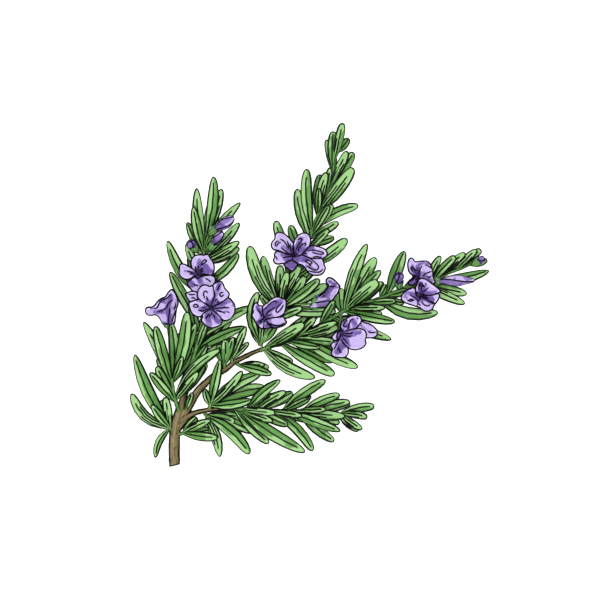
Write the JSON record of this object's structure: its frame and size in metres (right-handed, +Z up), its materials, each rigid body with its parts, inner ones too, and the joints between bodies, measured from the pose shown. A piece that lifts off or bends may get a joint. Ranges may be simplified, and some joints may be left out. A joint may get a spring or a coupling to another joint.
{
  "type": "rosemary sprig",
  "caption": "Cut sprig of flowering rosemary lying on its side: a forked woody stem, leafy shoots with narrow leaves, open lilac flowers and closed buds.",
  "frame": {"origin": "middle of the small flat on the underside of the woody butt, on the surface the sprig lies on", "axes": "+X along the lower shoot, to the right as seen from above; +Y along the butt towards the shoots; +Z up"},
  "size_m": [0.1797, 0.1718, 0.0252],
  "materials": {
    "bark": "rough greyish brown bark with fine lengthwise cracks",
    "leaf": "green leathery leaf with a soft sheen, darker along the midrib groove",
    "petal": "thin matt lilac petal with deep violet veins and throat",
    "bud": "matt lilac, darker towards the calyx"
  },
  "bodies": {
    "root": {"woody_stem": "bark", "butt_tuft_left": "leaf", "butt_tuft_right": "leaf", "fork_tuft": "leaf", "lower_branch_tuft": "leaf", "lower_branch_spur": "leaf", "upper_branch_tuft": "leaf", "upper_branch_low_tuft": "leaf", "upper_branch_spur": "leaf", "fan_shoot": "leaf", "left_shoot": "leaf", "middle_shoot": "leaf", "right_shoot": "leaf", "lower_shoot": "leaf", "flower_1": "petal", "flower_2": "petal", "flower_3": "petal", "flower_4": "petal", "flower_5": "petal", "flower_6": "petal", "flower_7": "petal", "flower_8": "petal", "flower_9": "petal", "bud_1": "bud", "bud_2": "bud", "bud_3": "bud", "bud_4": "bud", "bud_5": "bud", "bud_6": "bud"}
  },
  "joints": []
}
